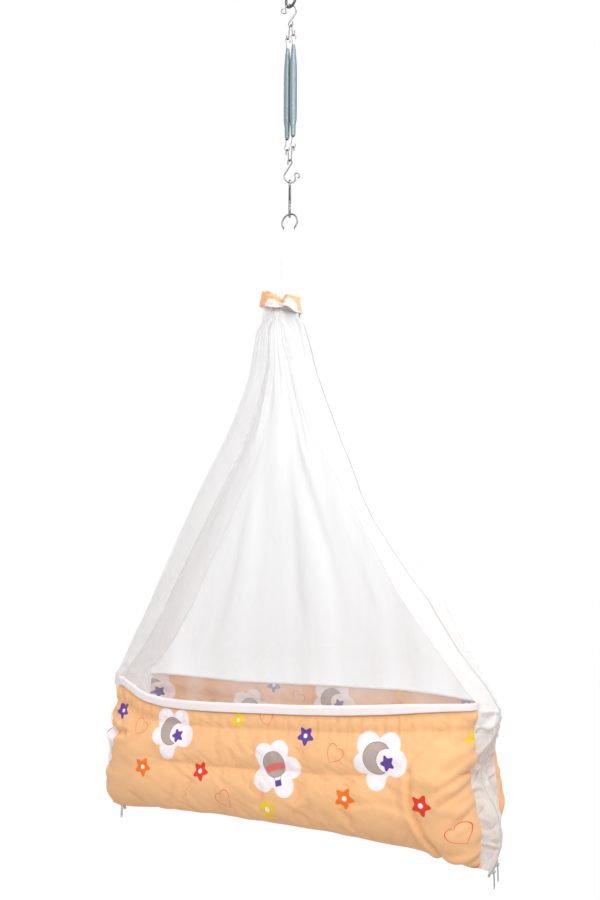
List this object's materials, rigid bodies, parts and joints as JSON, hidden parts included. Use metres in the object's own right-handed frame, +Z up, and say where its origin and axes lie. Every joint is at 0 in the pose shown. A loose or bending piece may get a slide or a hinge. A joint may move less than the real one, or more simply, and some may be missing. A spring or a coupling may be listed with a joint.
{
  "type": "hanging baby cradle",
  "caption": "Hanging cradle of net and padded cotton with zipped ends, hung from a link by hooks, paired springs, a snap hook and a strap on a ring.",
  "frame": {"origin": "seat of the ceiling hook, at the top of the hanging link's eye", "axes": "+Z up, +X along the cradle towards the end with two zip sliders, +Y across it to the back"},
  "size_m": [0.91, 0.278, 1.9892],
  "materials": {
    "dark_steel": "dark grey steel wire",
    "bright_steel": "drawn steel wire",
    "zinc_spring": "zinc-plated spring wire",
    "zip_metal": "nickel-plated zip hardware",
    "white_cotton": "white woven cotton",
    "net_cloth": "fine see-through net",
    "orange_cotton": "orange woven cotton",
    "printed_orange_cotton": "padded light orange cotton with a small print",
    "zip_nylon": "white nylon coil and tape",
    "hardboard": "brown hardboard",
    "mattress_cotton": "cotton cover over foam"
  },
  "bodies": {
    "hanger": {"hanging_link": "dark_steel"},
    "upper_hook_body": {"upper_hook": "bright_steel"},
    "spring_body": {"upper_bail": "bright_steel", "left_spring": "zinc_spring", "right_spring": "zinc_spring"},
    "lower_bail_body": {"lower_bail": "bright_steel"},
    "lower_hook_body": {"lower_hook": "bright_steel"},
    "snap_body": {"snap_hook_body": "bright_steel", "snap_hook_pin": "bright_steel"},
    "gate_body": {"snap_hook_gate": "dark_steel"},
    "ring_body": {"suspension_ring": "bright_steel"},
    "cradle_body": {"hanging_strap": "white_cotton", "top_band": "orange_cotton", "front_net": "net_cloth", "back_net": "net_cloth", "left_front_strip": "white_cotton", "left_back_strip": "white_cotton", "right_front_strip": "white_cotton", "right_back_strip": "white_cotton", "left_zip_front_tape": "zip_nylon", "left_zip_back_tape": "zip_nylon", "right_zip_front_tape": "zip_nylon", "right_zip_back_tape": "zip_nylon", "left_zip_stop": "zip_metal", "right_zip_stop": "zip_metal", "front_wall": "printed_orange_cotton", "back_wall": "printed_orange_cotton", "front_binding": "white_cotton", "back_binding": "white_cotton", "floor_panel": "printed_orange_cotton", "base_board": "hardboard", "mattress": "mattress_cotton"},
    "left_slider_body": {"left_slider": "zip_metal"},
    "left_pull_body": {"left_pull": "zip_metal"},
    "right_lower_slider_body": {"right_lower_slider": "zip_metal"},
    "right_lower_pull_body": {"right_lower_pull": "zip_metal"},
    "right_upper_slider_body": {"right_upper_slider": "zip_metal"},
    "right_upper_pull_body": {"right_upper_pull": "zip_metal"}
  },
  "joints": [
    {"name": "upper_hook_swing", "type": "hinge", "parent": "hanger", "child": "upper_hook_body", "pos_m": [0, 0, -0.051], "axis": [0.9455, -0.3256, 0], "range_deg": [-20, 20]},
    {"name": "upper_bail_swing", "type": "hinge", "parent": "upper_hook_body", "child": "spring_body", "pos_m": [0, 0, -0.10395], "axis": [0.7314, 0.682, 0], "range_deg": [-20, 20]},
    {"name": "spring_stretch", "type": "slide", "parent": "spring_body", "child": "lower_bail_body", "axis": [0, 0, -1], "range_m": [0, 0.12], "stiffness_N_per_m": 900, "springref_m": -0.03, "deforming": ["left_spring", "right_spring"]},
    {"name": "lower_hook_swing", "type": "hinge", "parent": "lower_bail_body", "child": "lower_hook_body", "pos_m": [0, 0, -0.4526], "axis": [0.9455, -0.3256, 0], "range_deg": [-18, 18]},
    {"name": "snap_hook_swing", "type": "hinge", "parent": "lower_hook_body", "child": "snap_body", "pos_m": [0, 0, -0.50705], "axis": [0.7314, 0.682, 0], "range_deg": [-20, 20]},
    {"name": "gate_open", "type": "hinge", "parent": "snap_body", "child": "gate_body", "pos_m": [0.00543, -0.01022, -0.56225], "axis": [-0.8829, -0.4695, 0], "range_deg": [0, 19], "stiffness_Nm_per_rad": 0.02, "springref_deg": -17.19},
    {"name": "ring_swing", "type": "hinge", "parent": "snap_body", "child": "ring_body", "pos_m": [0, 0, -0.59025], "axis": [-0.4695, 0.8829, 0], "range_deg": [-20, 20]},
    {"name": "cradle_swing", "type": "hinge", "parent": "ring_body", "child": "cradle_body", "pos_m": [0, 0, -0.6222], "axis": [1, 0, 0], "range_deg": [-15, 15]},
    {"name": "left_slider_run", "type": "hinge", "parent": "cradle_body", "child": "left_slider_body", "pos_m": [-0.3183, 0, -1.887], "axis": [0, 1, 0], "range_deg": [0, 48]},
    {"name": "left_pull_swing", "type": "hinge", "parent": "left_slider_body", "child": "left_pull_body", "pos_m": [-0.42926, 0, -1.95367], "axis": [0, 1, 0], "range_deg": [-5, 90]},
    {"name": "right_lower_slider_run", "type": "hinge", "parent": "cradle_body", "child": "right_lower_slider_body", "pos_m": [0.3183, 0, -1.887], "axis": [0, -1, 0], "range_deg": [0, 48]},
    {"name": "right_lower_pull_swing", "type": "hinge", "parent": "right_lower_slider_body", "child": "right_lower_pull_body", "pos_m": [0.42926, 0, -1.95367], "axis": [0, -1, 0], "range_deg": [-5, 18]},
    {"name": "right_upper_slider_run", "type": "hinge", "parent": "cradle_body", "child": "right_upper_slider_body", "pos_m": [0.3183, 0, -1.887], "axis": [0, -1, 0], "range_deg": [0, 48]},
    {"name": "right_upper_pull_swing", "type": "hinge", "parent": "right_upper_slider_body", "child": "right_upper_pull_body", "pos_m": [0.43656, 0, -1.93965], "axis": [0, -1, 0], "range_deg": [-5, 90]}
  ],
  "couplings": [
    {"joint": "right_upper_slider_run", "follows": "right_lower_slider_run", "ratio": 1}
  ]
}
